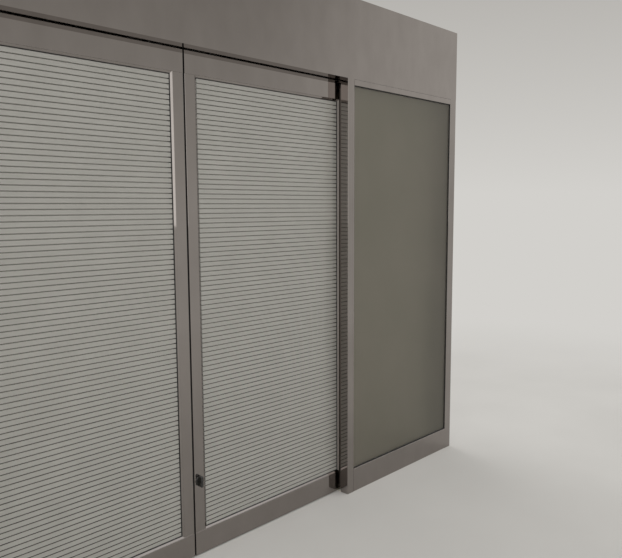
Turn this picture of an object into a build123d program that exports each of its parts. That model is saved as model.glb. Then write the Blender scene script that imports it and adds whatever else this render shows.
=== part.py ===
from build123d import *
import math
import os

# A two-leaf sliding glass entrance door in mirror-polished stainless steel.
# X runs along the door, to the right as seen from the room. Y runs through it, away from
# the room. Z is up. The origin is on the floor, in the middle of the frame. Millimetres.

# Frame
clear_height = 2200.0
half_opening = 950.0
post_width = 50.0
post_depth = 50.0
side_width = 900.0
jamb_width = 60.0
frame_depth = 180.0
header_height = 400.0
sill_rail_height = 130.0
head_rail_height = 30.0
tube_wall = 3.0
tube_corner = 2.0
anchor_hole = 10.5
anchor_spacing_y = 120.0
anchor_spacing_z = 1600.0
anchor_mid_z = 1100.0

# Sidelight glazing
side_glass_thick = 12.0
side_glass_setback = 8.0
side_glass_bite = 10.0
glazing_groove_play = 2.0
side_seal_width = 4.0
side_seal_proud = 3.0

# Sliding leaf
leaf_setback = 70.0
leaf_depth = 40.0
leaf_overlap = 60.0
meeting_gap = 8.0
floor_gap = 5.0
head_gap = 3.5
open_end_gap = 10.0
stile_width = 52.0
top_rail_height = 95.0
bottom_rail_height = 106.0
leaf_glass_thick = 12.0
leaf_glass_setback = 9.0
leaf_glass_play = 3.0
bead_width = 8.0
bead_fall = 5.0
gasket_width = 3.5
gasket_proud = 1.6
guide_groove_width = 12.0
guide_groove_depth = 28.0

# Printed film on the leaf glass
band_pitch = 21.0
band_height = 16.5
film_thick = 0.3

# Seals
meeting_seal_depth = 24.0
meeting_seal_lips = 0.5
running_gap = 0.3

# How far a cut runs past the metal that it cuts
cut_over = 1.0

# Header housing
fascia_sheet = 2.0
fascia_top_return = 40.0
fascia_lip = 12.0
beam_wall = 4.0
hanger_slot = 34.0
end_cap_thick = 3.0
screw_count = 8
screw_radius = 2.5
screw_head_radius = 5.0
screw_length = 12.0
screw_end_gap = 80.0

# Track and carriages
track_top = 56.0
track_arm_thick = 12.0
track_arm_lip = 10.0
track_foot_width = 16.0
track_foot_height = 3.0
track_web_width = 8.0
track_web_height = 3.0
wheel_radius = 22.0
wheel_flange = 3.5
wheel_width = 12.0
wheel_spacing = 100.0
axle_radius = 5.0
axle_play = 0.08
axle_head_radius = 8.0
axle_head_thick = 3.0
carriage_length = 150.0
carriage_plate = 6.0
carriage_foot = 8.0
carriage_above_leaf = 14.0
carriage_inset = 146.0
carriage_rise = 18.0
carriage_foot_margin = 2.0
wheel_side_gap = 2.5
hanger_bolt_radius = 6.0
hanger_nut_radius = 10.0
hanger_nut_height = 9.0
hanger_bolt_end = 4.0
stop_length = 40.0
stop_height = 44.0
stop_face = 8.0
stop_gap = 1.0
track_end_gap = 2.0

# Belt drive
pulley_from_jamb = 650.0
pulley_rise = 165.0
pulley_radius = 30.0
pulley_flange = 6.0
pulley_flange_thick = 2.0
belt_width = 15.0
belt_thick = 3.0
belt_y = -11.0
shaft_radius = 6.0
shaft_end = 2.0
pulley_back_gap = 4.0
clamp_length = 50.0
clamp_wall = 5.0
clamp_jaw = 8.0
clamp_spacer_height = 20.0
gearbox_width = 84.0
gearbox_height = 84.0
gearbox_depth = 46.0
gearbox_round = 10.0
gearbox_boss_radius = 16.0
gearbox_boss_height = 3.0
motor_radius = 31.0
motor_length = 170.0
motor_pad = 10.0
motor_pad_reach = 40.0
motor_rib_inset = 10.0
motor_cap_step = 4.0
motor_cap_length = 12.0
idler_block_width = 46.0
idler_block_height = 56.0
idler_round = 6.0
idler_foot_reach = 25.0
idler_foot_thick = 6.0
tension_screw_radius = 5.0
tension_screw_length = 60.0
control_length = 280.0
control_height = 110.0
control_depth = 58.0
control_x = 380.0
control_rise = 250.0
control_round = 5.0
control_edge = 2.0
vent_count = 5
vent_start = 40.0
vent_pitch = 12.0
vent_width = 5.0
vent_depth = 3.0
vent_inset = 20.0

# Floor guide
guide_length = 36.0
guide_blade_height = 26.0
guide_plate_thick = 3.0
guide_plate_width = 50.0
guide_side_play = 1.0
guide_end_inset = 5.0
guide_plate_reach = 18.0
guide_blade_round = 4.0

# Lock low on the leading stile
lock_height = 345.0
lock_inset = 26.0
rose_radius = 21.0
rose_thick = 4.0
turn_length = 52.0
turn_width = 13.0
turn_proud = 18.0
turn_chamfer = 1.5
spindle_radius = 4.0
spindle_end = 4.0
hook_thick = 8.0
hook_arm = 9.0
hook_hub = 8.0
hook_tip_turn = 14.0
hook_root_turn = 20.0
hook_throw = 90.0
hook_play = 3.0
hook_side_play = 1.0
hook_spoke_back = 6.0
hook_spoke_root = 2.0
keeper_thick = 3.0
keeper_length = 90.0
keeper_width = 24.0
case_wall = 2.0
case_length = 88.0
case_width = 43.0
case_inset = 4.5
case_under_hub = 4.0

# Places worked out from the sizes above
front = -frame_depth / 2
back = frame_depth / 2
post_in = half_opening
post_out = post_in + post_width
jamb_in = post_out + side_width
jamb_out = jamb_in + jamb_width
pulley_x = jamb_in - pulley_from_jamb
post_back = front + post_depth
header_top = clear_height + header_height
leaf_front = front + leaf_setback
leaf_back = leaf_front + leaf_depth
leaf_mid = leaf_front + leaf_depth / 2
leaf_in = meeting_gap / 2
leaf_out = post_in + leaf_overlap
leaf_low = floor_gap
leaf_high = clear_height - head_gap
stile_low = leaf_low + bottom_rail_height
stile_high = leaf_high - top_rail_height
travel = jamb_in - leaf_out - open_end_gap
seal_lip = meeting_seal_lips / 2


def block(x0, x1, y0, y1, z0, z1):
    """A rectangular block between two corners."""
    size = Box(x1 - x0, y1 - y0, z1 - z0)
    return Pos((x0 + x1) / 2, (y0 + y1) / 2, (z0 + z1) / 2) * size


def rod_y(x, z, radius, y0, y1):
    """A round rod along Y."""
    rod = Rot(X=-90) * Cylinder(radius, y1 - y0, align=(Align.CENTER, Align.CENTER, Align.MIN))
    return Pos(x, y0, z) * rod


def rod_z(x, y, radius, z0, z1):
    """A round rod along Z."""
    rod = Cylinder(radius, z1 - z0, align=(Align.CENTER, Align.CENTER, Align.MIN))
    return Pos(x, y, z0) * rod


def rod_x(y, z, radius, x0, x1):
    """A round rod along X."""
    rod = Rot(Y=90) * Cylinder(radius, x1 - x0, align=(Align.CENTER, Align.CENTER, Align.MIN))
    return Pos(x0, y, z) * rod


def prism_x(points, x0, x1):
    """A closed outline of (y, z) points, drawn out along X."""
    corners = [Vector(x0, y, z) for y, z in points]
    face = Face(Wire.make_polygon(corners, close=True))
    return extrude(face, amount=x1 - x0, dir=(1, 0, 0))


def prism_y(points, y0, y1):
    """A closed outline of (x, z) points, drawn out along Y."""
    corners = [Vector(x, y0, z) for x, z in points]
    face = Face(Wire.make_polygon(corners, close=True))
    return extrude(face, amount=y1 - y0, dir=(0, 1, 0))


def tube_z(x0, x1, y0, y1, z0, z1):
    """An upright tube of rectangular section with small rounded corners."""
    outside = RectangleRounded(x1 - x0, y1 - y0, tube_corner)
    inside = Rectangle(x1 - x0 - 2 * tube_wall, y1 - y0 - 2 * tube_wall)
    tube = extrude(outside - inside, amount=z1 - z0)
    return Pos((x0 + x1) / 2, (y0 + y1) / 2, z0) * tube


def tube_x(x0, x1, y0, y1, z0, z1):
    """A lying tube of rectangular section, closed at neither end."""
    outer = block(x0, x1, y0, y1, z0, z1)
    long_edges = outer.edges().filter_by(Axis.X)
    outer = fillet(long_edges, tube_corner)
    inner = block(x0, x1, y0 + tube_wall, y1 - tube_wall, z0 + tube_wall, z1 - tube_wall)
    return outer - inner


def left_of(shape):
    """The same piece on the other side of the middle."""
    return mirror(shape, about=Plane.YZ)


# Jambs, posts and rails of the fixed sidelights
glass_y0 = front + side_glass_setback
glass_y1 = glass_y0 + side_glass_thick
groove_y0 = glass_y0 - side_seal_proud
groove_y1 = glass_y1 + side_seal_proud
groove_depth = side_glass_bite + glazing_groove_play
glass_x0 = post_out - side_glass_bite
glass_x1 = jamb_in + side_glass_bite
glass_z0 = sill_rail_height - side_glass_bite
glass_z1 = clear_height - head_rail_height + side_glass_bite


def glazing_channel(x0, x1, z0, z1):
    """The folded channel that takes the glass edge: its outside and its hollow."""
    shell = block(x0, x1, groove_y0 - tube_wall, groove_y1 + tube_wall, z0, z1)
    hollow = block(x0, x1, groove_y0, groove_y1, z0, z1)
    return shell, hollow


def make_jamb():
    jamb = tube_z(jamb_in, jamb_out, front, back, 0, clear_height)
    shell, hollow = glazing_channel(jamb_in, jamb_in + groove_depth, 0, clear_height)
    floor_of_channel = block(jamb_in + groove_depth, jamb_in + groove_depth + tube_wall,
                             groove_y0 - tube_wall, groove_y1 + tube_wall, 0, clear_height)
    shell = shell & block(jamb_in + tube_wall, jamb_out, front + tube_wall, back, 0, clear_height)
    jamb = jamb + shell + floor_of_channel
    mouth = block(jamb_in - cut_over, jamb_in + groove_depth, groove_y0, groove_y1,
                  glass_z0 - glazing_groove_play, glass_z1 + glazing_groove_play)
    jamb = jamb - (hollow & block(jamb_in + tube_wall, jamb_out, front, back, 0, clear_height)) - mouth
    for dy in (-anchor_spacing_y / 2, anchor_spacing_y / 2):
        for dz in (-anchor_spacing_z / 2, anchor_spacing_z / 2):
            hole = rod_x(dy, anchor_mid_z + dz, anchor_hole / 2, jamb_out - 2 * tube_wall,
                         jamb_out + cut_over)
            jamb = jamb - hole
    return jamb


def make_post():
    post = tube_z(post_in, post_out, front, post_back, 0, clear_height)
    shell, hollow = glazing_channel(post_out - groove_depth, post_out, 0, clear_height)
    floor_of_channel = block(post_out - groove_depth - tube_wall, post_out - groove_depth,
                             groove_y0 - tube_wall, groove_y1 + tube_wall, 0, clear_height)
    shell = shell & block(post_in, post_out - tube_wall, front + tube_wall, post_back, 0, clear_height)
    post = post + shell + floor_of_channel
    mouth = block(post_out - groove_depth, post_out + cut_over, groove_y0, groove_y1,
                  glass_z0 - glazing_groove_play, glass_z1 + glazing_groove_play)
    return post - (hollow & block(post_in, post_out - tube_wall, front, back, 0, clear_height)) - mouth


def make_sill_rail():
    rail = tube_x(post_out, jamb_in, front, post_back, 0, sill_rail_height)
    channel = block(post_out, jamb_in, groove_y0 - tube_wall, groove_y1 + tube_wall,
                    sill_rail_height - groove_depth - tube_wall, sill_rail_height - tube_wall)
    mouth = block(post_out, jamb_in, groove_y0, groove_y1,
                  sill_rail_height - groove_depth, sill_rail_height + cut_over)
    return rail + channel - mouth


def make_head_rail():
    z0 = clear_height - head_rail_height
    rail = tube_x(post_out, jamb_in, front, post_back, z0, clear_height)
    channel = block(post_out, jamb_in, groove_y0 - tube_wall, groove_y1 + tube_wall,
                    z0 + tube_wall, z0 + groove_depth + tube_wall)
    mouth = block(post_out, jamb_in, groove_y0, groove_y1, z0 - cut_over, z0 + groove_depth)
    return rail + channel - mouth


def make_side_glass():
    return block(glass_x0, glass_x1, glass_y0, glass_y1, glass_z0, glass_z1)


def ring_y(x0, x1, z0, z1, width, y0, y1):
    """A flat four-sided frame that faces the room."""
    outer = block(x0, x1, y0, y1, z0, z1)
    inner = block(x0 + width, x1 - width, y0 - cut_over, y1 + cut_over, z0 + width, z1 - width)
    return outer - inner


def make_side_seal():
    rings = []
    for y0, y1 in ((groove_y0, glass_y0), (glass_y1, groove_y1)):
        rings.append(ring_y(glass_x0, glass_x1, glass_z0, glass_z1,
                            side_glass_bite + side_seal_width, y0, y1))
    return Compound(children=rings)


# Header housing: carrier beam, front cover, end caps and screws
beam_x = jamb_out - end_cap_thick
slot_front = leaf_mid - hanger_slot / 2
slot_back = leaf_mid + hanger_slot / 2
arm_top = clear_height + track_top
arm_low = arm_top - track_arm_thick
arm_tip = leaf_mid - track_foot_width / 2
beam_top = header_top - fascia_sheet


def make_header_beam():
    w = beam_wall
    low = clear_height
    outline = [
        (slot_back, low), (back, low), (back, beam_top), (front + fascia_sheet, beam_top),
        (front + fascia_sheet, beam_top - w), (back - w, beam_top - w), (back - w, arm_top),
        (arm_tip, arm_top), (arm_tip, arm_top - track_arm_lip - w),
        (arm_tip + w, arm_top - track_arm_lip - w), (arm_tip + w, arm_low + w),
        (back - w, arm_low - w), (back - w, low + w),
        (slot_back + w, low + w), (slot_back + w, low + fascia_lip), (slot_back, low + fascia_lip),
    ]
    beam = prism_x(outline, -beam_x, beam_x)
    for x in screw_places():
        beam = beam - rod_z(x, screw_y(), screw_radius, beam_top - 2 * w, header_top)
    return beam


def screw_places():
    end = beam_x - screw_end_gap
    step = 2 * end / (screw_count - 1)
    return [-end + step * i for i in range(screw_count)]


def screw_y():
    return front + fascia_top_return / 2


def screw_shape(x):
    shank = rod_z(x, screw_y(), screw_radius, header_top - screw_length, header_top)
    head = Cone(screw_radius, screw_head_radius, fascia_sheet, align=(Align.CENTER, Align.CENTER, Align.MIN))
    return shank + Pos(x, screw_y(), header_top - fascia_sheet) * head


def make_fascia():
    s = fascia_sheet
    low = clear_height
    outline = [
        (front, low), (slot_front, low), (slot_front, low + fascia_lip), (slot_front - s, low + fascia_lip),
        (slot_front - s, low + s), (front + s, low + s), (front + s, header_top - s),
        (front + fascia_top_return, header_top - s), (front + fascia_top_return, header_top),
        (front, header_top),
    ]
    cover = prism_x(outline, -beam_x, beam_x)
    for x in screw_places():
        cover = cover - screw_shape(x)
    return cover


def make_header_screws():
    return Compound(children=[screw_shape(x) for x in screw_places()])


def make_end_caps():
    right = block(beam_x, jamb_out, front, back, clear_height, header_top)
    upright_edges = right.edges().filter_by(Axis.X)
    right = fillet(upright_edges, tube_corner)
    return Compound(children=[right, left_of(right)])


# Track, stops and the carriages that hang the leaves
foot_top = arm_top + track_foot_height
crest_radius = track_web_width / 2
crest_mid = foot_top + track_web_height
crest_top = crest_mid + crest_radius
wheel_mid = crest_top + running_gap + wheel_radius
carriage_x = (leaf_in + carriage_inset, leaf_out - carriage_inset)
open_wheel_x = carriage_x[1] + wheel_spacing / 2 + wheel_radius + wheel_flange + travel
stop_x = open_wheel_x + stop_gap
carriage_low = leaf_high + carriage_above_leaf
plate_back = leaf_mid - wheel_width / 2 - wheel_side_gap
plate_front = plate_back - carriage_plate


def make_track():
    half = stop_x - track_end_gap
    foot = block(-half, half, leaf_mid - track_foot_width / 2, leaf_mid + track_foot_width / 2,
                 arm_top, foot_top)
    web = block(-half, half, leaf_mid - crest_radius, leaf_mid + crest_radius, foot_top, crest_mid)
    crest = rod_x(leaf_mid, crest_mid, crest_radius, -half, half)
    return foot + web + crest


def make_stops():
    pieces = []
    for side in (1, -1):
        body = block(stop_x + stop_face, stop_x + stop_length, arm_tip, arm_tip + track_foot_width,
                     arm_top, arm_top + stop_height)
        buffer_rod = rod_x(leaf_mid, wheel_mid, stop_face, stop_x, stop_x + stop_face)
        piece = body + buffer_rod
        pieces.append(piece if side == 1 else left_of(piece))
    return Compound(children=pieces)


def make_wheel(x):
    """A grooved nylon wheel that runs on the round crest of the track."""
    rim = wheel_radius + wheel_flange
    wheel = rod_y(x, wheel_mid, rim, leaf_mid - wheel_width / 2, leaf_mid + wheel_width / 2)
    bore = rod_y(x, wheel_mid, axle_radius + axle_play, leaf_mid - wheel_width, leaf_mid + wheel_width)
    groove = Torus(wheel_radius + crest_radius + running_gap, crest_radius + running_gap)
    groove = Pos(x, leaf_mid, wheel_mid) * Rot(X=90) * groove
    return wheel - bore - groove


def wheel_places():
    return [c + d for c in carriage_x for d in (-wheel_spacing / 2, wheel_spacing / 2)]


belt_in = pulley_radius + running_gap
belt_out = belt_in + belt_thick
pulley_z = clear_height + pulley_rise
belt_front = belt_y - belt_width / 2
belt_back = belt_y + belt_width / 2


def clamp_shape(x, run_low):
    """A strap in front of the belt with two jaws that hold one of its runs."""
    run_high = run_low + belt_thick
    strap_back = belt_front - running_gap
    strap_front = strap_back - clamp_wall
    x0, x1 = x - clamp_length / 2, x + clamp_length / 2
    plate_top = wheel_mid + carriage_rise
    strap = block(x0, x1, strap_front, strap_back, plate_top - clamp_spacer_height,
                  run_high + running_gap + clamp_jaw)
    spacer = block(x0, x1, strap_back, plate_front, plate_top - clamp_spacer_height, plate_top)
    low_jaw = block(x0, x1, strap_back, belt_back, run_low - running_gap - clamp_jaw, run_low - running_gap)
    high_jaw = block(x0, x1, strap_back, belt_back, run_high + running_gap,
                     run_high + running_gap + clamp_jaw)
    return strap + spacer + low_jaw + high_jaw


def carriage_shape(x, run_low=None):
    """A bent steel plate with two axles, and a foot over the top rail of the leaf."""
    x0, x1 = x - carriage_length / 2, x + carriage_length / 2
    plate_top = wheel_mid + carriage_rise
    foot_back = leaf_mid + hanger_nut_radius + carriage_foot_margin
    plate = block(x0, x1, plate_front, plate_back, carriage_low, plate_top)
    upper_corners = plate.edges().filter_by(Axis.Y).group_by(Axis.Z)[-1]
    plate = fillet(upper_corners, carriage_rise)
    foot = block(x0, x1, plate_front, foot_back, carriage_low, carriage_low + carriage_foot)
    carriage = plate + foot
    for dx in (-wheel_spacing / 2, wheel_spacing / 2):
        wheel_back = leaf_mid + wheel_width / 2
        wheel_front = leaf_mid - wheel_width / 2
        shoulder = rod_y(x + dx, wheel_mid, axle_head_radius, plate_back, wheel_front - running_gap)
        axle = rod_y(x + dx, wheel_mid, axle_radius, plate_front, wheel_back + running_gap)
        head = rod_y(x + dx, wheel_mid, axle_head_radius, wheel_back + running_gap,
                     wheel_back + running_gap + axle_head_thick)
        carriage = carriage + shoulder + axle + head
    if run_low is not None:
        carriage = carriage + clamp_shape(x, run_low)
    bolt_hole = rod_z(x, leaf_mid, hanger_bolt_radius, carriage_low - cut_over,
                      carriage_low + carriage_foot + cut_over)
    return carriage - bolt_hole


def hex_nut(x, z0, height):
    nut = extrude(RegularPolygon(hanger_nut_radius, 6), amount=height)
    return Pos(x, leaf_mid, z0) * nut


def hanger_bolt(x):
    """The bolt that sets the height of the leaf, with its nuts above and below."""
    foot_up = carriage_low + carriage_foot
    top = foot_up + hanger_nut_height + hanger_bolt_end
    low = leaf_high - tube_wall - hanger_nut_height - hanger_bolt_end
    shank = rod_z(x, leaf_mid, hanger_bolt_radius, low, top)
    upper = hex_nut(x, foot_up, hanger_nut_height)
    lower = hex_nut(x, leaf_high - tube_wall - hanger_nut_height, hanger_nut_height)
    return shank + upper + lower


def make_hangers(run_low):
    pieces = [carriage_shape(carriage_x[0], run_low), carriage_shape(carriage_x[1])]
    pieces += [hanger_bolt(x) for x in carriage_x]
    return pieces


# Leaf frame, glass, film, beads and seals
def make_stile(x0):
    return tube_z(x0, x0 + stile_width, leaf_front, leaf_back, stile_low, stile_high)


def make_top_rail():
    rail = tube_x(leaf_in, leaf_out, leaf_front, leaf_back, stile_high, leaf_high)
    for x in carriage_x:
        rail = rail - rod_z(x, leaf_mid, hanger_bolt_radius, leaf_high - 2 * tube_wall,
                            leaf_high + cut_over)
    return rail


def make_bottom_rail():
    rail = tube_x(leaf_in, leaf_out, leaf_front, leaf_back, leaf_low, stile_low)
    half = guide_groove_width / 2
    channel = block(leaf_in, leaf_out, leaf_mid - half - tube_wall, leaf_mid + half + tube_wall,
                    leaf_low + tube_wall, leaf_low + guide_groove_depth + tube_wall)
    groove = block(leaf_in, leaf_out, leaf_mid - half, leaf_mid + half,
                   leaf_low - cut_over, leaf_low + guide_groove_depth)
    return rail + channel - groove


light_x0 = leaf_in + stile_width
light_x1 = leaf_out - stile_width
pane_y0 = leaf_front + leaf_glass_setback
pane_y1 = pane_y0 + leaf_glass_thick


def make_leaf_glass():
    play = leaf_glass_play
    return block(light_x0 + play, light_x1 - play, pane_y0, pane_y1, stile_low + play, stile_high - play)


def split_at_mitres(ring, y0, y1):
    """Cuts a glazing frame into its four bars at the corners."""
    x0, x1, z0, z1 = light_x0, light_x1, stile_low, stile_high
    reach = (x1 - x0) / 2
    left_part = [(x0, z0), (x0 + reach, z0 + reach), (x0 + reach, z1 - reach), (x0, z1)]
    right_part = [(x1, z0), (x1 - reach, z0 + reach), (x1 - reach, z1 - reach), (x1, z1)]
    low_part = [(x0, z0), (x1, z0), (x0 + reach, z0 + reach)]
    high_part = [(x0, z1), (x1, z1), (x0 + reach, z1 - reach)]
    bars = []
    for outline in (left_part, right_part, low_part, high_part):
        bar = ring & prism_y(outline, y0 - cut_over, y1 + cut_over)
        bars += bar.solids()
    return bars


def make_beads():
    """Mitred glazing beads: sloping ones on the room side and square ones behind."""
    front_ring = ring_y(light_x0, light_x1, stile_low, stile_high, bead_width, leaf_front, pane_y0)
    width, height = light_x1 - light_x0, stile_high - stile_low
    mid_x, mid_z = (light_x0 + light_x1) / 2, (stile_low + stile_high) / 2
    near = Plane(origin=(mid_x, leaf_front, mid_z), x_dir=(1, 0, 0), z_dir=(0, 1, 0))
    far = near.offset(bead_fall)
    funnel = loft([near * Rectangle(width, height),
                   far * Rectangle(width - 2 * bead_width, height - 2 * bead_width)])
    front_ring = front_ring - funnel
    back_ring = ring_y(light_x0, light_x1, stile_low, stile_high, bead_width, pane_y1, leaf_back)
    bars = split_at_mitres(front_ring, leaf_front, pane_y0)
    bars += split_at_mitres(back_ring, pane_y1, leaf_back)
    return Compound(children=bars)


gasket_x0 = light_x0 + bead_width
gasket_x1 = light_x1 - bead_width
gasket_z0 = stile_low + bead_width
gasket_z1 = stile_high - bead_width


def make_gaskets():
    room_side = ring_y(gasket_x0, gasket_x1, gasket_z0, gasket_z1, gasket_width,
                       pane_y0 - gasket_proud, pane_y0)
    far_side = ring_y(gasket_x0, gasket_x1, gasket_z0, gasket_z1, gasket_width,
                      pane_y1, pane_y1 + gasket_proud)
    return Compound(children=[room_side, far_side])


def make_film():
    """The translucent bands of the film, from the top down. The last is cut off at the gasket."""
    x0, x1 = gasket_x0 + gasket_width, gasket_x1 - gasket_width
    z0, z1 = gasket_z0 + gasket_width, gasket_z1 - gasket_width
    count = math.ceil((z1 - z0) / band_pitch)
    bands = []
    for i in range(count):
        top = z1 - i * band_pitch
        low = max(top - band_height, z0)
        bands.append(block(x0, x1, pane_y0 - film_thick, pane_y0, low, top))
    return Compound(children=bands)


hook_x = leaf_in + lock_inset
hook_in = hook_x + leaf_in + tube_wall + keeper_thick + hook_play
hook_out = hook_in + hook_arm
slot_top = math.sqrt(hook_out ** 2 - (hook_x - leaf_in) ** 2) + hook_play
keeper_top = math.sqrt(hook_out ** 2 - (hook_x + leaf_in) ** 2) + hook_play
spoke_turn = hook_root_turn - hook_spoke_back
spoke_edge = hook_arm / 2 / math.cos(math.radians(spoke_turn))
keeper_low = (hook_x + leaf_in) * math.tan(math.radians(spoke_turn)) - spoke_edge - hook_play / 2
hook_slot_y = hook_thick / 2 + hook_side_play


def make_meeting_seal():
    """A rubber strip with a rounded nose along the leading edge."""
    half = meeting_seal_depth / 2
    strip = block(seal_lip, leaf_in, leaf_mid - half, leaf_mid + half, leaf_low, leaf_high)
    nose = strip.edges().filter_by(Axis.Z).group_by(Axis.X)[0]
    strip = fillet(nose, (leaf_in - seal_lip) * 0.6)
    gap = block(0, leaf_in, -hook_slot_y + leaf_mid, hook_slot_y + leaf_mid,
                lock_height - hook_play, lock_height + slot_top)
    return strip - gap


# Lock: rose, turn, hook, case and keeper
def make_lock_rose():
    rose = rod_y(hook_x, lock_height, rose_radius, leaf_front - rose_thick, leaf_front)
    rim = rose.edges().group_by(Axis.Y)[0]
    rose = fillet(rim, rose_thick / 2)
    bore = rod_y(hook_x, lock_height, spindle_radius + axle_play, leaf_front - rose_thick - cut_over,
                 leaf_front + cut_over)
    return rose - bore


def make_thumb_turn():
    y0 = leaf_front - rose_thick - running_gap - turn_proud
    y1 = leaf_front - rose_thick - running_gap
    half = turn_length / 2
    grip = block(hook_x - turn_width / 2, hook_x + turn_width / 2, y0, y1,
                 lock_height - half, lock_height + half)
    ends = grip.edges().filter_by(Axis.Y)
    grip = fillet(ends, turn_width * 0.45)
    rim = grip.edges().group_by(Axis.Y)[0]
    grip = chamfer(rim, turn_chamfer)
    spindle = rod_y(hook_x, lock_height, spindle_radius, y1, leaf_mid + hook_thick / 2 + spindle_end)
    return grip + spindle


def hook_point(radius, degrees):
    angle = math.radians(degrees)
    return (hook_x - radius * math.cos(angle), lock_height + radius * math.sin(angle))


def make_hook():
    """A claw that swings on the spindle, shown drawn in. Angles count from the meeting edge, upwards."""
    start = hook_throw - hook_tip_turn
    end = hook_throw + hook_root_turn
    steps = 6
    outer = [hook_point(hook_out, start + (end - start) * i / steps) for i in range(steps + 1)]
    inner = [hook_point(hook_in, end - (end - start) * i / steps) for i in range(steps + 1)]
    y0, y1 = leaf_mid - hook_thick / 2, leaf_mid + hook_thick / 2
    claw = prism_y(outer + inner, y0, y1)
    spoke_length = hook_in + hook_spoke_root
    spoke = Pos(0, 0, spoke_length / 2) * Box(hook_arm, hook_thick, spoke_length)
    spoke = Pos(hook_x, leaf_mid, lock_height) * Rot(Y=hook_throw + spoke_turn - 90.0) * spoke
    hub = rod_y(hook_x, lock_height, hook_hub, y0, y1)
    hook = claw + spoke + hub
    return hook - rod_y(hook_x, lock_height, spindle_radius, y0 - cut_over, y1 + cut_over)


def make_lock_case():
    """An open-fronted steel case in the stile, held behind its leading wall."""
    x0 = leaf_in + case_inset
    x1 = x0 + case_width
    z0 = lock_height - hook_hub - case_under_hub
    z1 = z0 + case_length
    y0 = leaf_mid - hook_slot_y - case_wall
    y1 = leaf_mid + hook_slot_y + case_wall
    case = block(x0, x1, y0, y1, z0, z1)
    case = case - block(x0 - cut_over, x1 - case_wall, y0 + case_wall, y1 - case_wall,
                        z0 + case_wall, z1 - case_wall)
    seat = block(leaf_in + tube_wall, x0, y0, y1, z0, z0 + case_wall)
    seat = seat + block(leaf_in + tube_wall, x0, y0, y1, z1 - case_wall, z1)
    bearing = rod_y(hook_x, lock_height, spindle_radius + axle_play, y0 - cut_over, y1 + cut_over)
    return case + seat - bearing


def make_keeper():
    """A slotted steel plate behind the leading wall of the other leaf, as if on the right."""
    x0 = leaf_in + tube_wall
    mid = lock_height + (keeper_low + keeper_top) / 2
    plate = block(x0, x0 + keeper_thick, leaf_mid - keeper_width / 2, leaf_mid + keeper_width / 2,
                  mid - keeper_length / 2, mid + keeper_length / 2)
    slot = block(x0 - cut_over, x0 + keeper_thick + cut_over, leaf_mid - hook_slot_y, leaf_mid + hook_slot_y,
                 lock_height + keeper_low, lock_height + keeper_top)
    return plate - slot


# Drive: motor with its gearbox, pulleys, belt and control unit
def make_motor():
    x0, x1 = -pulley_x - gearbox_width / 2, -pulley_x + gearbox_width / 2
    z0, z1 = pulley_z - gearbox_height / 2, pulley_z + gearbox_height / 2
    y0 = belt_back + pulley_flange_thick + pulley_back_gap
    y1 = y0 + gearbox_depth
    wall = back - beam_wall
    gearbox = block(x0, x1, y0, y1, z0, z1)
    gearbox = fillet(gearbox.edges().filter_by(Axis.Y), gearbox_round)
    boss = rod_y(-pulley_x, pulley_z, gearbox_boss_radius, y0 - gearbox_boss_height, y0)
    pad = block(x0 - motor_pad_reach, x1, wall - motor_pad, wall, z0, z1)
    inset = motor_rib_inset
    ribs = block(x0 + inset, x1 - inset, y1, wall - motor_pad, z0 + inset, z1 - inset)
    motor_y = (y0 + y1) / 2
    can_end = x0 - motor_length
    can = rod_x(motor_y, pulley_z, motor_radius, can_end, x0)
    cap = rod_x(motor_y, pulley_z, motor_radius - motor_cap_step, can_end - motor_cap_length, can_end)
    shaft = rod_y(-pulley_x, pulley_z, shaft_radius, belt_front - pulley_flange_thick - shaft_end, y0)
    return gearbox + boss + pad + ribs + can + cap + shaft


def make_pulley(x):
    """A flanged belt pulley."""
    rim = rod_y(x, pulley_z, pulley_radius, belt_front - pulley_flange_thick, belt_back + pulley_flange_thick)
    for y0 in (belt_front - pulley_flange_thick - running_gap, belt_back + running_gap):
        flange = rod_y(x, pulley_z, belt_out + pulley_flange, y0, y0 + pulley_flange_thick)
        rim = rim + flange
    bore = rod_y(x, pulley_z, shaft_radius + axle_play, belt_front - belt_width, belt_back + belt_width)
    return rim - bore


def make_belt():
    """The closed belt: two straight runs and a half turn round each pulley."""
    outer = SlotCenterToCenter(2 * pulley_x, 2 * belt_out)
    inner = SlotCenterToCenter(2 * pulley_x, 2 * belt_in)
    band = extrude(outer - inner, amount=belt_width)
    return Pos(0, belt_back, pulley_z) * Rot(X=90) * band


def make_idler_bracket():
    wall = back - beam_wall
    y0 = belt_back + pulley_flange_thick + pulley_back_gap
    half_w, half_h = idler_block_width / 2, idler_block_height / 2
    block_body = block(pulley_x - half_w, pulley_x + half_w, y0, wall, pulley_z - half_h, pulley_z + half_h)
    block_body = fillet(block_body.edges().filter_by(Axis.Y), idler_round)
    reach = half_w + idler_foot_reach
    foot = block(pulley_x - reach, pulley_x + reach, wall - idler_foot_thick, wall,
                 pulley_z - half_h, pulley_z + half_h)
    axle = rod_y(pulley_x, pulley_z, shaft_radius, belt_front - pulley_flange_thick - shaft_end, y0)
    screw_x = pulley_x + half_w
    tension_screw = rod_x((y0 + wall) / 2, pulley_z, tension_screw_radius, screw_x,
                          screw_x + tension_screw_length)
    return block_body + foot + axle + tension_screw


def make_control_unit():
    wall = back - beam_wall
    z0 = clear_height + control_rise
    x0, x1 = control_x - control_length / 2, control_x + control_length / 2
    unit = block(x0, x1, wall - control_depth, wall, z0, z0 + control_height)
    unit = fillet(unit.edges().filter_by(Axis.Y), control_round)
    lid_edge = unit.edges().group_by(Axis.Y)[0]
    unit = chamfer(lid_edge, control_edge)
    lid = wall - control_depth
    for i in range(vent_count):
        x = x0 + vent_start + i * vent_pitch
        unit = unit - block(x, x + vent_width, lid - cut_over, lid + vent_depth,
                            z0 + vent_inset, z0 + control_height - vent_inset)
    return unit


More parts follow.
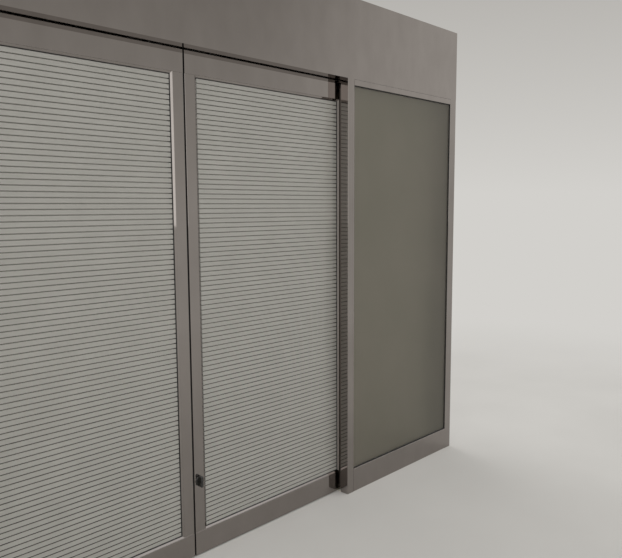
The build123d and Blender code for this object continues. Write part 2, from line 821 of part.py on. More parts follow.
# Floor guide under each leaf
def make_floor_guide():
    x0 = post_in + guide_end_inset
    blade_half = guide_groove_width / 2 - guide_side_play
    plate = block(post_in, post_in + guide_plate_width, post_back, leaf_mid + guide_plate_reach,
                  0, guide_plate_thick)
    blade = block(x0, x0 + guide_length, leaf_mid - blade_half, leaf_mid + blade_half, guide_plate_thick,
                  leaf_low + guide_blade_height)
    upper_edges = blade.edges().filter_by(Axis.Y)
    blade = fillet(upper_edges.group_by(Axis.Z)[-1], guide_blade_round)
    return plate + blade


os.makedirs("parts", exist_ok=True)
written = []


def save(name, shape):
    export_step(shape, os.path.join("parts", name + ".step"))
    written.append(name)


def save_pair(name, right, left=None):
    save(name + "_right", right)
    save(name + "_left", left_of(right) if left is None else left)


save_pair("jamb", make_jamb())
save_pair("post", make_post())
save_pair("sill_rail", make_sill_rail())
save_pair("head_rail", make_head_rail())
save_pair("side_glass", make_side_glass())
save_pair("side_seal", make_side_seal())
save("header_beam", make_header_beam())
save("header_fascia", make_fascia())
save("header_end_caps", make_end_caps())
save("header_screws", make_header_screws())
save("track_rail", make_track())
save("track_stops", make_stops())
save("drive_motor", make_motor())
save("drive_pulley", make_pulley(-pulley_x))
save("idler_pulley", make_pulley(pulley_x))
save("idler_bracket", make_idler_bracket())
save("drive_belt", make_belt())
save("control_unit", make_control_unit())
guide = make_floor_guide()
save("floor_guides", Compound(children=[guide, left_of(guide)]))

wall_cut_x = (leaf_in - cut_over, leaf_in + tube_wall + cut_over)
wall_cut_y = (leaf_mid - hook_slot_y, leaf_mid + hook_slot_y)
wall_slot = block(*wall_cut_x, *wall_cut_y, lock_height - hook_play, lock_height + slot_top)
keeper_slot = block(*wall_cut_x, *wall_cut_y, lock_height + keeper_low, lock_height + keeper_top)
spindle_hole = rod_y(hook_x, lock_height, spindle_radius + axle_play, leaf_front - cut_over, leaf_mid)
leading = make_stile(leaf_in)
save_pair("leading_stile", leading - wall_slot - spindle_hole, left_of(leading - keeper_slot))
save_pair("trailing_stile", make_stile(leaf_out - stile_width))
save_pair("top_rail", make_top_rail())
save_pair("bottom_rail", make_bottom_rail())
save_pair("leaf_glass", make_leaf_glass())
save_pair("film_bands", make_film())
save_pair("glazing_beads", make_beads())
save_pair("glass_gaskets", make_gaskets())
save_pair("meeting_seal", make_meeting_seal())
upper_run = pulley_z + belt_in
lower_run = pulley_z - belt_out
save_pair("hangers", Compound(children=make_hangers(upper_run)),
          left_of(Compound(children=make_hangers(lower_run))))
for i, x in enumerate(wheel_places()):
    save_pair("wheel_%d" % (i + 1), make_wheel(x))
save("lock_rose", make_lock_rose())
save("thumb_turn", make_thumb_turn())
save("hook_bolt", make_hook())
save("lock_case", make_lock_case())
save("lock_keeper", left_of(make_keeper()))
print(len(written), "parts, travel of each leaf", travel)
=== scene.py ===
# %% [markdown]
# # A sliding glass entrance door in polished stainless steel
#
# The door's solids come from the packed CAD model, which is the fixed frame of this scene: two glass leaves that
# slide apart, a tall header with the track and the drive in it, slim posts and fixed frosted sidelights.
# Blender gives each piece the surface that it really has, and sets the floor, the light and the camera. All
# visible pieces have their true shape in the CAD model already, so none is made again here. Lengths are in
# metres, unless a name ends in mm.

# %% Load the frame
import bpy
import math
from mathutils import Matrix, Vector

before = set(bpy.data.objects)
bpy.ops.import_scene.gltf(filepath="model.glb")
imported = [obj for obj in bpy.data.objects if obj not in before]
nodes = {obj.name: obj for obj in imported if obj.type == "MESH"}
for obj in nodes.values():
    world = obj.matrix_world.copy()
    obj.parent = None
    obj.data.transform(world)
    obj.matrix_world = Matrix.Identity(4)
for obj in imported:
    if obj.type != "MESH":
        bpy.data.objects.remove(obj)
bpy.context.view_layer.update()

# %% [markdown]
# ## Colours
#
# A paint chart or a photograph gives a colour as an sRGB hex value, but Blender mixes light in linear values.
# The values could be worked out by hand for each colour, which hides what they mean. One function that turns the
# first into the second keeps the hex values readable below.

# %% Colour helper
def hex_colour(text):
    """Turns an sRGB hex value such as #8a8178 into a linear colour, by the formula of the sRGB standard."""
    values = [int(text[i:i + 2], 16) / 255 for i in (1, 3, 5)]
    linear = [v / 12.92 if v <= 0.04045 else ((v + 0.055) / 1.055) ** 2.4 for v in values]
    return (*linear, 1.0)


print("mid grey in linear values", hex_colour("#808080"))

# %% [markdown]
# ## Nodes
#
# A material is a tree of nodes. Each node could be made, set and linked in lines of its own, but that is the same
# few lines again and again. One small function does it all instead: an input takes either a value or
# another node's output.

# %% Node helper
def add_node(tree, kind, inputs=None, **settings):
    """Adds a node. Inputs map a socket's name or number to a value, or to another node's output."""
    node = tree.nodes.new(kind)
    for name, value in settings.items():
        setattr(node, name, value)
    for name, value in (inputs or {}).items():
        if isinstance(value, bpy.types.NodeSocket):
            tree.links.new(value, node.inputs[name])
        else:
            node.inputs[name].default_value = value
    return node


print("add_node:", add_node.__doc__)

# %% [markdown]
# ## Starting and giving a material
#
# Every material here starts with an empty tree and the object's own coordinates. Generated coordinates would
# stretch a pattern to each piece's size. The object's own are metres from the door's origin, so a pattern has a
# real size, runs on from piece to piece, and stays on the piece when it moves. Every material ends by going
# to the CAD nodes that it covers. Most pieces are there twice, right and left, so a third helper writes
# both names.

# %% Material helpers
def start_material(name):
    """A material with an empty tree, and the object's own coordinates in metres."""
    material = bpy.data.materials.new(name)
    material.use_nodes = True
    tree = material.node_tree
    tree.nodes.clear()
    place = add_node(tree, "ShaderNodeTexCoord").outputs["Object"]
    return material, tree, place


def dress(names, material, shader):
    """Ends a material's tree and gives the material to CAD nodes."""
    add_node(material.node_tree, "ShaderNodeOutputMaterial", {"Surface": shader.outputs[0]})
    for name in names:
        mesh = nodes[name].data
        mesh.materials.clear()
        mesh.materials.append(material)
    print(material.name, "on", *names)


def both(*names):
    """The right and left node of each name."""
    return [name + side for name in names for side in ("_right", "_left")]


print("nodes that come in pairs, such as", both("jamb"))

# %% [markdown]
# ## The scale of a pattern
#
# Blender's noise has patches about one unit across at a scale of 1. The scale could be tried until it looks
# right, but a size in millimetres can be measured on the real thing. So a function turns one into the other.
# Noise stays mostly between 0.3 and 0.7, so that range is spread over 0 to 1 before it is used.

# %% Scale helper
mm = 0.001
noise_range = {"From Min": 0.3, "From Max": 0.7}


def per_metre(size_mm):
    """The texture scale at which one patch is this many millimetres across."""
    return 1 / (size_mm * mm)


print("scale of a 90 mm patch", per_metre(90))

# %% [markdown]
# ## Mirror-polished stainless steel
#
# The jambs, posts, rails, stiles and header cover are folded from thin sheet of stainless steel (18% chromium and
# 8% nickel), ground and then buffed until it is a mirror. It could be a smooth metal shader with one value,
# but that looks like chromed casting. Two things tell the eye that it is sheet: the mirror bends a little, because
# thin sheet buckles in waves a little longer than a hand's span, and wiping leaves a faint haze. So the relief is
# very long and very shallow, and the roughness is low and wanders between two values. The warm grey is what
# such steel shows in a plain room.

# %% Polished stainless steel
wiped_patch_mm = 90
buckle_mm, buckle_depth_mm = 260, 0.8
steel, tree, place = start_material("polished_stainless_steel")
tall = add_node(tree, "ShaderNodeMapping", {"Vector": place, "Scale": (1, 1, 0.5)})
wiping = add_node(tree, "ShaderNodeTexNoise",
                  {"Vector": tall.outputs["Vector"], "Scale": per_metre(wiped_patch_mm), "Detail": 4.0})
haze = add_node(tree, "ShaderNodeMapRange", {"Value": wiping.outputs["Fac"], **noise_range})
tone = add_node(tree, "ShaderNodeMixRGB",
                {"Fac": haze.outputs["Result"], "Color1": hex_colour("#948e8a"), "Color2": hex_colour("#9a9490")})
shine = add_node(tree, "ShaderNodeMapRange", {"Value": haze.outputs["Result"], "To Min": 0.02, "To Max": 0.06})
buckled = add_node(tree, "ShaderNodeMapping", {"Vector": place, "Scale": (1, 1, 0.6)})
waves = add_node(tree, "ShaderNodeTexNoise",
                 {"Vector": buckled.outputs["Vector"], "Scale": per_metre(buckle_mm), "Detail": 1.0})
relief = add_node(tree, "ShaderNodeBump", {"Height": waves.outputs["Fac"], "Distance": buckle_depth_mm * mm})
shader = add_node(tree, "ShaderNodeBsdfPrincipled",
                  {"Base Color": tone.outputs["Color"], "Roughness": shine.outputs["Result"], "Metallic": 1.0,
                   "Normal": relief.outputs["Normal"]})
steel_names = both("jamb", "post", "sill_rail", "head_rail", "leading_stile", "trailing_stile", "top_rail",
                   "bottom_rail", "glazing_beads") + ["header_fascia", "header_end_caps"]
dress(steel_names, steel, shader)

# %% [markdown]
# ## Toughened glass
#
# The leaves are glazed with a 12 mm pane of grey body-tinted float glass, heated and chilled in a blast of air. It
# could be a see-through surface without refraction, which is quicker, but then its edge and its reflections are
# wrong, so this is a solid pane with the refraction of glass. Its surface has almost no roughness, and its
# colour is what comes through it. Heating on rollers leaves waves under a tenth of a millimetre deep, which
# bend reflections.

# %% Leaf glass
roller_wave_mm, roller_depth_mm = 300, 0.08
glass, tree, place = start_material("grey_toughened_glass")
along_rollers = add_node(tree, "ShaderNodeMapping", {"Vector": place, "Scale": (0.4, 1, 1)})
roller_noise = add_node(tree, "ShaderNodeTexNoise",
                        {"Vector": along_rollers.outputs["Vector"], "Scale": per_metre(roller_wave_mm),
                         "Detail": 1.0})
roller = add_node(tree, "ShaderNodeMapRange", {"Value": roller_noise.outputs["Fac"], **noise_range})
tint = add_node(tree, "ShaderNodeMixRGB",
                {"Fac": roller.outputs["Result"], "Color1": hex_colour("#706f69"), "Color2": hex_colour("#777670")})
shine = add_node(tree, "ShaderNodeMapRange", {"Value": roller.outputs["Result"], "To Min": 0.0, "To Max": 0.02})
relief = add_node(tree, "ShaderNodeBump",
                  {"Height": roller_noise.outputs["Fac"], "Distance": roller_depth_mm * mm})
shader = add_node(tree, "ShaderNodeBsdfPrincipled",
                  {"Base Color": tint.outputs["Color"], "Roughness": shine.outputs["Result"],
                   "Transmission Weight": 1.0, "IOR": 1.5, "Normal": relief.outputs["Normal"]})
dress(both("leaf_glass"), glass, shader)

# %% [markdown]
# ## Etched glass
#
# The fixed sidelights are acid-etched: the acid eats a fine, even frost into one face, so light passes, but
# shapes behind melt away. The frost could be modelled as real pits, which are far too small to draw. In
# a shader it is transmission with a high roughness, and a quarter of the light is scattered back as from
# paint. A faint cloudiness shows where the bath was stronger.

# %% Sidelight glass
cloud_mm = 320
# The real pits are finer than this. They are drawn 1.5 mm across, so that they show.
pit_mm, pit_depth_mm = 1.5, 0.02
etched, tree, place = start_material("acid_etched_glass")
bath = add_node(tree, "ShaderNodeTexNoise", {"Vector": place, "Scale": per_metre(cloud_mm), "Detail": 3.0})
cloud = add_node(tree, "ShaderNodeMapRange", {"Value": bath.outputs["Fac"], **noise_range})
tint = add_node(tree, "ShaderNodeMixRGB",
                {"Fac": cloud.outputs["Result"], "Color1": hex_colour("#7f7b6d"), "Color2": hex_colour("#888376")})
shine = add_node(tree, "ShaderNodeMapRange", {"Value": cloud.outputs["Result"], "To Min": 0.42, "To Max": 0.5})
pits = add_node(tree, "ShaderNodeTexNoise", {"Vector": place, "Scale": per_metre(pit_mm), "Detail": 2.0})
relief = add_node(tree, "ShaderNodeBump",
                  {"Height": pits.outputs["Fac"], "Distance": pit_depth_mm * mm, "Strength": 0.5})
shader = add_node(tree, "ShaderNodeBsdfPrincipled",
                  {"Base Color": tint.outputs["Color"], "Roughness": shine.outputs["Result"],
                   "Transmission Weight": 0.75, "IOR": 1.5, "Normal": relief.outputs["Normal"]})
dress(both("side_glass"), etched, shader)

# %% [markdown]
# ## Translucent film
#
# The stripes on the leaves are bands of matt vinyl film, cut and laid on the room side of the glass with narrow
# gaps between. The stripes could be a pattern in the glass material, but the bands are real solids in the CAD model,
# so they keep their edges and their thickness. Vinyl scatters most light and lets some through, and a thin clear
# skin over it still shines. So the shader is mostly diffuse, with some transmission and a coat.

# %% Film bands
mottle_mm = 140
# The grain of matt vinyl is finer than this. It is drawn 2 mm across, so that it shows.
vinyl_grain_mm, vinyl_grain_depth_mm = 2, 0.01
film, tree, place = start_material("matt_vinyl_film")
casting = add_node(tree, "ShaderNodeTexNoise", {"Vector": place, "Scale": per_metre(mottle_mm), "Detail": 4.0})
mottle = add_node(tree, "ShaderNodeMapRange", {"Value": casting.outputs["Fac"], **noise_range})
tone = add_node(tree, "ShaderNodeMixRGB",
                {"Fac": mottle.outputs["Result"], "Color1": hex_colour("#b4b2ab"), "Color2": hex_colour("#bab8b1")})
shine = add_node(tree, "ShaderNodeMapRange", {"Value": mottle.outputs["Result"], "To Min": 0.4, "To Max": 0.5})
grain = add_node(tree, "ShaderNodeTexNoise", {"Vector": place, "Scale": per_metre(vinyl_grain_mm), "Detail": 2.0})
relief = add_node(tree, "ShaderNodeBump",
                  {"Height": grain.outputs["Fac"], "Distance": vinyl_grain_depth_mm * mm, "Strength": 0.4})
shader = add_node(tree, "ShaderNodeBsdfPrincipled",
                  {"Base Color": tone.outputs["Color"], "Roughness": shine.outputs["Result"],
                   "Transmission Weight": 0.25, "Coat Weight": 0.5, "Coat Roughness": 0.06,
                   "Normal": relief.outputs["Normal"]})
dress(both("film_bands"), film, shader)

# %% [markdown]
# ## Black rubber
#
# Gaskets, glazing seals and the meeting seal are EPDM rubber, pushed through a die. A flat black would do from
# far away, but up close rubber is near black and dull, with fine lines along its length and a dusty bloom that
# makes it a little paler in patches. Both are noise: one stretched out along the seal, one in soft patches.

# %% Rubber
rubber_dust_mm = 30
# The real lines are a few tenths of a millimetre apart. They are drawn 1.5 mm apart, so that they show.
rubber_line_mm, rubber_line_depth_mm = 1.5, 0.1
rubber, tree, place = start_material("extruded_epdm_rubber")
dust = add_node(tree, "ShaderNodeTexNoise", {"Vector": place, "Scale": per_metre(rubber_dust_mm), "Detail": 4.0})
bloom = add_node(tree, "ShaderNodeMapRange", {"Value": dust.outputs["Fac"], **noise_range})
tone = add_node(tree, "ShaderNodeMixRGB",
                {"Fac": bloom.outputs["Result"], "Color1": hex_colour("#1b1b1b"), "Color2": hex_colour("#262524")})
shine = add_node(tree, "ShaderNodeMapRange", {"Value": bloom.outputs["Result"], "To Min": 0.55, "To Max": 0.75})
drawn_out = add_node(tree, "ShaderNodeMapping", {"Vector": place, "Scale": (1, 1, 0.02)})
die_lines = add_node(tree, "ShaderNodeTexNoise",
                     {"Vector": drawn_out.outputs["Vector"], "Scale": per_metre(rubber_line_mm), "Detail": 2.0})
relief = add_node(tree, "ShaderNodeBump",
                  {"Height": die_lines.outputs["Fac"], "Distance": rubber_line_depth_mm * mm})
shader = add_node(tree, "ShaderNodeBsdfPrincipled",
                  {"Base Color": tone.outputs["Color"], "Roughness": shine.outputs["Result"],
                   "Normal": relief.outputs["Normal"]})
dress(both("side_seal", "glass_gaskets", "meeting_seal"), rubber, shader)

# %% [markdown]
# ## The drive belt
#
# The belt is black neoprene moulded over glass cords, with ribs across it that catch in the pulleys' teeth. The
# ribs could be cut as solids, but the belt runs inside the header, where nobody sees them. So they are
# drawn as relief, a wave along the belt, 8 mm from rib to rib.

# %% Belt
belt_dust_mm = 25
rib_pitch_mm, rib_depth_mm = 8, 1
waves_per_unit = 20 / (2 * math.pi)  # Blender draws this many waves in one unit at a scale of 1.
neoprene, tree, place = start_material("ribbed_neoprene")
dust = add_node(tree, "ShaderNodeTexNoise", {"Vector": place, "Scale": per_metre(belt_dust_mm), "Detail": 3.0})
bloom = add_node(tree, "ShaderNodeMapRange", {"Value": dust.outputs["Fac"], **noise_range})
tone = add_node(tree, "ShaderNodeMixRGB",
                {"Fac": bloom.outputs["Result"], "Color1": hex_colour("#1d1d1d"), "Color2": hex_colour("#2a2928")})
shine = add_node(tree, "ShaderNodeMapRange", {"Value": bloom.outputs["Result"], "To Min": 0.5, "To Max": 0.7})
ribs = add_node(tree, "ShaderNodeTexWave", {"Vector": place, "Scale": per_metre(rib_pitch_mm) / waves_per_unit})
relief = add_node(tree, "ShaderNodeBump", {"Height": ribs.outputs["Fac"], "Distance": rib_depth_mm * mm})
shader = add_node(tree, "ShaderNodeBsdfPrincipled",
                  {"Base Color": tone.outputs["Color"], "Roughness": shine.outputs["Result"],
                   "Normal": relief.outputs["Normal"]})
dress(["drive_belt"], neoprene, shader)

# %% [markdown]
# ## Anodised aluminium
#
# The carrier beam, the track and the pulleys are extruded or turned aluminium, etched and anodised to a satin
# silver. An even satin would look like plastic with a metal coat. The extruding die leaves fine lines along
# the length, and the etch makes the shine soft, so noise is stretched a hundred times along X.

# %% Anodised aluminium
# The real lines are finer than this. They are drawn 3 mm apart, so that they show.
draw_line_mm, draw_line_depth_mm = 3, 0.05
aluminium, tree, place = start_material("satin_anodised_aluminium")
drawn_out = add_node(tree, "ShaderNodeMapping", {"Vector": place, "Scale": (0.01, 1, 1)})
die_lines = add_node(tree, "ShaderNodeTexNoise",
                     {"Vector": drawn_out.outputs["Vector"], "Scale": per_metre(draw_line_mm), "Detail": 3.0})
lines = add_node(tree, "ShaderNodeMapRange", {"Value": die_lines.outputs["Fac"], **noise_range})
tone = add_node(tree, "ShaderNodeMixRGB",
                {"Fac": lines.outputs["Result"], "Color1": hex_colour("#8f8f8e"), "Color2": hex_colour("#9b9b99")})
shine = add_node(tree, "ShaderNodeMapRange", {"Value": lines.outputs["Result"], "To Min": 0.32, "To Max": 0.42})
relief = add_node(tree, "ShaderNodeBump",
                  {"Height": die_lines.outputs["Fac"], "Distance": draw_line_depth_mm * mm})
shader = add_node(tree, "ShaderNodeBsdfPrincipled",
                  {"Base Color": tone.outputs["Color"], "Roughness": shine.outputs["Result"], "Metallic": 1.0,
                   "Normal": relief.outputs["Normal"]})
dress(["header_beam", "track_rail", "drive_pulley", "idler_pulley"], aluminium, shader)

# %% [markdown]
# ## Zinc-plated steel
#
# Brackets, bolts and screws are mild steel with a thin bright coat of zinc. Zinc grows in small crystals that
# the eye sees as a soft mottle, a few millimetres across. Noise makes clouds, but crystals have straight
# borders, so the pattern is Voronoi cells.

# %% Zinc-plated steel
crystal_mm, crystal_depth_mm = 6, 0.03
zinc, tree, place = start_material("zinc_plated_steel")
cells = add_node(tree, "ShaderNodeTexVoronoi", {"Vector": place, "Scale": per_metre(crystal_mm)})
crystals = cells.outputs["Distance"]
tone = add_node(tree, "ShaderNodeMixRGB",
                {"Fac": crystals, "Color1": hex_colour("#8c8e90"), "Color2": hex_colour("#a4a5a6")})
shine = add_node(tree, "ShaderNodeMapRange", {"Value": crystals, "To Min": 0.28, "To Max": 0.42})
relief = add_node(tree, "ShaderNodeBump", {"Height": crystals, "Distance": crystal_depth_mm * mm})
shader = add_node(tree, "ShaderNodeBsdfPrincipled",
                  {"Base Color": tone.outputs["Color"], "Roughness": shine.outputs["Result"], "Metallic": 1.0,
                   "Normal": relief.outputs["Normal"]})
zinc_names = both("hangers") + ["header_screws", "track_stops", "idler_bracket", "hook_bolt", "lock_case",
                                "lock_keeper"]
dress(zinc_names, zinc, shader)

# %% [markdown]
# ## Nylon
#
# The wheels and floor guides are natural nylon, moulded: a milky cream with a soft sheen. Paint would be the same
# colour, but light goes a little way into nylon and comes out again, which softens its edges. So the
# shader has some subsurface scattering, 2 mm deep, and a faint flow pattern from the mould.

# %% Nylon
flow_mm, flow_depth_mm = 18, 0.05
light_depth_mm = 2
nylon, tree, place = start_material("moulded_nylon")
moulding = add_node(tree, "ShaderNodeTexNoise", {"Vector": place, "Scale": per_metre(flow_mm), "Detail": 3.0})
flow = add_node(tree, "ShaderNodeMapRange", {"Value": moulding.outputs["Fac"], **noise_range})
tone = add_node(tree, "ShaderNodeMixRGB",
                {"Fac": flow.outputs["Result"], "Color1": hex_colour("#cfcabb"), "Color2": hex_colour("#d9d5c8")})
shine = add_node(tree, "ShaderNodeMapRange", {"Value": flow.outputs["Result"], "To Min": 0.35, "To Max": 0.48})
relief = add_node(tree, "ShaderNodeBump", {"Height": moulding.outputs["Fac"], "Distance": flow_depth_mm * mm})
shader = add_node(tree, "ShaderNodeBsdfPrincipled",
                  {"Base Color": tone.outputs["Color"], "Roughness": shine.outputs["Result"],
                   "Subsurface Weight": 0.1, "Subsurface Scale": light_depth_mm * mm,
                   "Normal": relief.outputs["Normal"]})
dress(both("wheel_1", "wheel_2", "wheel_3", "wheel_4") + ["floor_guides"], nylon, shader)

# %% [markdown]
# ## ABS
#
# The control unit's case is moulded in grey ABS. A smooth grey would look like enamel. A mould is spark-eroded to
# hide flow marks, which leaves a fine even grain, so the relief is fine noise.

# %% ABS
# The real grain is a few tenths of a millimetre. It is drawn 1.2 mm across, so that it shows.
mould_grain_mm, mould_grain_depth_mm = 1.2, 0.08
abs_grey, tree, place = start_material("moulded_abs")
grain = add_node(tree, "ShaderNodeTexNoise", {"Vector": place, "Scale": per_metre(mould_grain_mm), "Detail": 2.0})
even = add_node(tree, "ShaderNodeMapRange", {"Value": grain.outputs["Fac"], **noise_range})
tone = add_node(tree, "ShaderNodeMixRGB",
                {"Fac": even.outputs["Result"], "Color1": hex_colour("#4c4e50"), "Color2": hex_colour("#57595b")})
shine = add_node(tree, "ShaderNodeMapRange", {"Value": even.outputs["Result"], "To Min": 0.5, "To Max": 0.65})
relief = add_node(tree, "ShaderNodeBump", {"Height": grain.outputs["Fac"], "Distance": mould_grain_depth_mm * mm})
shader = add_node(tree, "ShaderNodeBsdfPrincipled",
                  {"Base Color": tone.outputs["Color"], "Roughness": shine.outputs["Result"],
                   "Normal": relief.outputs["Normal"]})
dress(["control_unit"], abs_grey, shader)

# %% [markdown]
# ## Black enamel
#
# The motor and its gearbox are cast aluminium under stoved black enamel. Sprayed paint is never quite flat: it
# dries in small waves that are known as orange peel, 2 to 3 mm across. Relief from noise of that size gives them.

# %% Enamel
orange_peel_mm, orange_peel_depth_mm = 2.5, 0.06
enamel, tree, place = start_material("stoved_black_enamel")
spray = add_node(tree, "ShaderNodeTexNoise", {"Vector": place, "Scale": per_metre(orange_peel_mm), "Detail": 2.0})
peel = add_node(tree, "ShaderNodeMapRange", {"Value": spray.outputs["Fac"], **noise_range})
tone = add_node(tree, "ShaderNodeMixRGB",
                {"Fac": peel.outputs["Result"], "Color1": hex_colour("#1c1c1e"), "Color2": hex_colour("#242426")})
shine = add_node(tree, "ShaderNodeMapRange", {"Value": peel.outputs["Result"], "To Min": 0.35, "To Max": 0.5})
relief = add_node(tree, "ShaderNodeBump", {"Height": spray.outputs["Fac"], "Distance": orange_peel_depth_mm * mm})
shader = add_node(tree, "ShaderNodeBsdfPrincipled",
                  {"Base Color": tone.outputs["Color"], "Roughness": shine.outputs["Result"],
                   "Normal": relief.outputs["Normal"]})
dress(["drive_motor"], enamel, shader)

# %% [markdown]
# ## Black lacquer
#
# The lock's rose and thumb turn are zinc castings under black lacquer. One even gloss would make them look new.
# Fingers rub the lacquer smooth in some places and leave it dull in others, so the roughness and the
# shade both follow patches the size of a fingertip, under a thin clear coat.

# %% Lacquer
fingertip_mm, rubbed_depth_mm = 12, 0.03
lacquer, tree, place = start_material("black_lacquer_on_zinc")
fingers = add_node(tree, "ShaderNodeTexNoise", {"Vector": place, "Scale": per_metre(fingertip_mm), "Detail": 4.0})
rubbed = add_node(tree, "ShaderNodeMapRange", {"Value": fingers.outputs["Fac"], **noise_range})
tone = add_node(tree, "ShaderNodeMixRGB",
                {"Fac": rubbed.outputs["Result"], "Color1": hex_colour("#191918"), "Color2": hex_colour("#24231f")})
shine = add_node(tree, "ShaderNodeMapRange", {"Value": rubbed.outputs["Result"], "To Min": 0.22, "To Max": 0.4})
relief = add_node(tree, "ShaderNodeBump", {"Height": fingers.outputs["Fac"], "Distance": rubbed_depth_mm * mm})
shader = add_node(tree, "ShaderNodeBsdfPrincipled",
                  {"Base Color": tone.outputs["Color"], "Roughness": shine.outputs["Result"],
                   "Coat Weight": 0.4, "Normal": relief.outputs["Normal"]})
dress(["lock_rose", "thumb_turn"], lacquer, shader)

# %% [markdown]
# ## Background
#
# A product picture needs a background that says nothing. It could be a curved sheet of geometry, but that would
# cast shadows and bounce light. Here it is the world's colour: pale at the horizon, a little deeper above it,
# white overhead, and a little brighter on one side. So polished steel shades from one end to the other, and
# the sloping beads under the glass catch a pale line from overhead. The camera, the mirrors and the glass
# see it directly, while the light that it gives to dull surfaces is set apart.

# %% Backdrop colours
horizon_colour = hex_colour("#d2d0cc")
middle_colour = hex_colour("#a3a09b")
overhead_colour = hex_colour("#ffffff")
lit_side_colour = hex_colour("#e6e4e0")
print("backdrop from", horizon_colour[:3], "to", middle_colour[:3])

# %% [markdown]
# ## What sees the backdrop
#
# The light that a backdrop gives and the look of it are two things. They could be one colour, but then a
# paler background would also light the door more. Cycles knows what each ray is for, so this little group of
# nodes tells the rays that look, from the camera, in mirrors and through glass, from those that carry light.

# %% Looking rays
def seen_directly(tree):
    """1 for rays from the camera, from mirrors and through glass, and 0 for rays that carry light."""
    rays = add_node(tree, "ShaderNodeLightPath")
    camera_or_mirror = add_node(tree, "ShaderNodeMath",
                                {0: rays.outputs["Is Camera Ray"], 1: rays.outputs["Is Glossy Ray"]},
                                operation="MAXIMUM")
    or_glass = add_node(tree, "ShaderNodeMath",
                        {0: camera_or_mirror.outputs[0], 1: rays.outputs["Is Transmission Ray"]},
                        operation="MAXIMUM")
    return or_glass.outputs[0]


print("3 kinds of ray see the backdrop: camera, glossy and transmission")

# %% [markdown]
# ## The world
#
# The world's colour depends on the direction in which a ray leaves. An environment picture would need a file, so
# it is worked out. The height of the direction, from 0 at the horizon to 1 straight up, blends the colours one
# above the other. How near it points to the lit side, which is 1 straight at it, blends in that one. The lit
# side fades out down to the horizon, so that the floor meets one colour all round. The even light for dull
# surfaces comes from the same world at a plain strength.

# %% Where the backdrop changes
middle_heights = (0.02, 0.45)
overhead_heights = (0.35, 0.43)
lit_side = (0.93, -0.34, 0.14)
lit_nearness = (0.86, 1.0)
lit_side_heights = (0.0, 0.15)
for name, heights in (("middle", middle_heights), ("overhead", overhead_heights), ("lit side", lit_side_heights)):
    print(name, "reached between", [round(math.degrees(math.asin(h))) for h in heights], "degrees up")

# %% World
fill_strength = 0.7
world = bpy.data.worlds.new("studio")
bpy.context.scene.world = world
world.use_nodes = True
tree = world.node_tree
tree.nodes.clear()
direction = add_node(tree, "ShaderNodeTexCoord").outputs["Generated"]
height = add_node(tree, "ShaderNodeSeparateXYZ", {"Vector": direction}).outputs["Z"]
upwards = add_node(tree, "ShaderNodeMapRange",
                   {"Value": height, "From Min": middle_heights[0], "From Max": middle_heights[1]})
middle = add_node(tree, "ShaderNodeMixRGB",
                  {"Fac": upwards.outputs["Result"], "Color1": horizon_colour, "Color2": middle_colour})
overhead = add_node(tree, "ShaderNodeMapRange",
                    {"Value": height, "From Min": overhead_heights[0], "From Max": overhead_heights[1]},
                    interpolation_type="SMOOTHSTEP")
shade = add_node(tree, "ShaderNodeMixRGB",
                 {"Fac": overhead.outputs["Result"], "Color1": middle.outputs["Color"], "Color2": overhead_colour})
towards_lit_side = add_node(tree, "ShaderNodeVectorMath", {0: direction, 1: lit_side}, operation="DOT_PRODUCT")
near_lit_side = add_node(tree, "ShaderNodeMapRange",
                         {"Value": towards_lit_side.outputs["Value"], "From Min": lit_nearness[0],
                          "From Max": lit_nearness[1]},
                         interpolation_type="SMOOTHSTEP")
above_horizon = add_node(tree, "ShaderNodeMapRange",
                         {"Value": height, "From Min": lit_side_heights[0], "From Max": lit_side_heights[1]},
                         interpolation_type="SMOOTHSTEP")
lit_share = add_node(tree, "ShaderNodeMath",
                     {0: near_lit_side.outputs["Result"], 1: above_horizon.outputs["Result"]}, operation="MULTIPLY")
blended = add_node(tree, "ShaderNodeMixRGB",
                   {"Fac": lit_share.outputs[0], "Color1": shade.outputs["Color"], "Color2": lit_side_colour})
fill_light = add_node(tree, "ShaderNodeBackground", {"Color": hex_colour("#f6f5f3"), "Strength": fill_strength})
backdrop = add_node(tree, "ShaderNodeBackground", {"Color": blended.outputs["Color"], "Strength": 1.0})
mixed = add_node(tree, "ShaderNodeMixShader",
                 {0: seen_directly(tree), 1: fill_light.outputs[0], 2: backdrop.outputs[0]})
add_node(tree, "ShaderNodeOutputWorld", {"Surface": mixed.outputs[0]})
print("world", world.name, "with", len(tree.nodes), "nodes")

# %% [markdown]
# ## Floor
#
# The floor holds the door's shadow. A primitive from Blender's menu would do, but a mesh from four corners says
# exactly where it lies. It is large, so that no view shows its edge, and it isn't part of the door.

# %% Floor
floor_half = 30.0
floor_mesh = bpy.data.meshes.new("floor")
corners = [(-floor_half, -floor_half, 0), (floor_half, -floor_half, 0), (floor_half, floor_half, 0),
           (-floor_half, floor_half, 0)]
floor_mesh.from_pydata(corners, [], [(0, 1, 2, 3)])
floor = bpy.data.objects.new("floor", floor_mesh)
bpy.context.scene.collection.objects.link(floor)
print("floor", 2 * floor_half, "m wide")

# %% [markdown]
# ## Plaster
#
# The floor is pale plaster, spread with a trowel: matt, with the faintest cloud where the trowel passed. On a
# large floor the horizon would show as a line. It could be hidden with a curved backdrop of geometry, but every
# view needs another one. So far from the door the plaster fades into the backdrop's colour, for the same rays
# that see the backdrop.

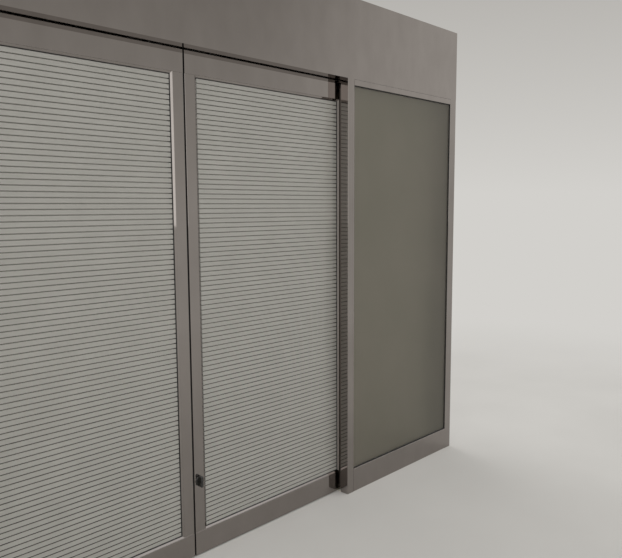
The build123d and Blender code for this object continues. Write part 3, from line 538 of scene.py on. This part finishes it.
# %% Plaster
trowel_pass_mm = 900
fade_from, fade_to = 3.0, 7.0
plaster, tree, place = start_material("trowelled_plaster")
trowelling = add_node(tree, "ShaderNodeTexNoise",
                      {"Vector": place, "Scale": per_metre(trowel_pass_mm), "Detail": 3.0})
cloud = add_node(tree, "ShaderNodeMapRange", {"Value": trowelling.outputs["Fac"], **noise_range})
tone = add_node(tree, "ShaderNodeMixRGB",
                {"Fac": cloud.outputs["Result"], "Color1": hex_colour("#cac8c4"), "Color2": hex_colour("#d0ceca")})
near_floor = add_node(tree, "ShaderNodeBsdfPrincipled", {"Base Color": tone.outputs["Color"], "Roughness": 0.8})
from_door = add_node(tree, "ShaderNodeVectorMath", {0: place}, operation="LENGTH")
fade = add_node(tree, "ShaderNodeMapRange",
                {"Value": from_door.outputs["Value"], "From Min": fade_from, "From Max": fade_to},
                interpolation_type="SMOOTHSTEP")
share = add_node(tree, "ShaderNodeMath", {0: fade.outputs["Result"], 1: seen_directly(tree)}, operation="MULTIPLY")
far_floor = add_node(tree, "ShaderNodeEmission", {"Color": horizon_colour, "Strength": 1.0})
whole = add_node(tree, "ShaderNodeMixShader",
                 {0: share.outputs[0], 1: near_floor.outputs["BSDF"], 2: far_floor.outputs[0]})
add_node(tree, "ShaderNodeOutputMaterial", {"Surface": whole.outputs[0]})
floor_mesh.materials.append(plaster)
print(plaster.name, "on the floor, fading between", fade_from, "and", fade_to, "m")

# %% [markdown]
# ## Lamps
#
# Polished steel is a mirror, so it shows every lamp. A small bright lamp would leave a white patch in it. So the
# soft boxes are several metres wide and dim. The key lamp is high in front on the left, a weaker one stands
# above on the right, where the mirrors that face the camera don't look, and one is behind, so that no side
# is left dark. The glass doesn't show the one behind.

# %% Lamps
def soft_box(name, place_m, aim_m, width_m, power_w):
    """A square area lamp that faces a point."""
    lamp = bpy.data.lights.new(name, "AREA")
    lamp.shape = "SQUARE"
    lamp.size = width_m
    lamp.energy = power_w
    holder = bpy.data.objects.new(name, lamp)
    bpy.context.scene.collection.objects.link(holder)
    holder.location = place_m
    holder.rotation_euler = (Vector(aim_m) - Vector(place_m)).to_track_quat("-Z", "Y").to_euler()
    print(name, power_w, "W over", width_m * width_m, "square metres")
    return holder


door_middle = (0, 0, 1.2)
soft_box("key_lamp", place_m=(-5.0, -6.0, 5.2), aim_m=door_middle, width_m=9.0, power_w=230)
soft_box("side_lamp", place_m=(4.5, -4.5, 9.0), aim_m=door_middle, width_m=6.0, power_w=150)
rear_lamp = soft_box("rear_lamp", place_m=(2.5, 7.0, 5.0), aim_m=door_middle, width_m=6.0, power_w=170)
rear_lamp.visible_transmission = False

# %% [markdown]
# ## Camera
#
# The camera stands where the photograph was taken from. It could be moved by eye until the picture looks alike.
# Instead its place, direction and lens were found by fitting the door's own straight lines, so the door
# falls on the same part of the picture.

# %% Camera
lens_mm, sensor_mm = 37.77, 36.0
eye = Vector((-1.614, -2.321, 1.548))
yaw, pitch, roll = (math.radians(a) for a in (45.713, -6.237, -0.273))
camera_data = bpy.data.cameras.new("camera")
camera_data.lens = lens_mm
camera_data.sensor_width = sensor_mm
camera = bpy.data.objects.new("camera", camera_data)
bpy.context.scene.collection.objects.link(camera)
aside = Matrix.Rotation(-yaw, 4, "Z")
level = Matrix.Rotation(math.pi / 2 + pitch, 4, "X")
tilt = Matrix.Rotation(roll, 4, "Z")
camera.matrix_world = Matrix.Translation(eye) @ aside @ level @ tilt
bpy.context.scene.camera = camera
bpy.context.scene.view_settings.view_transform = "Standard"
print("camera at", [round(value, 3) for value in eye])

# %% [markdown]
# ## Size and finish
#
# The dressed door has to stay inside the CAD model's box.
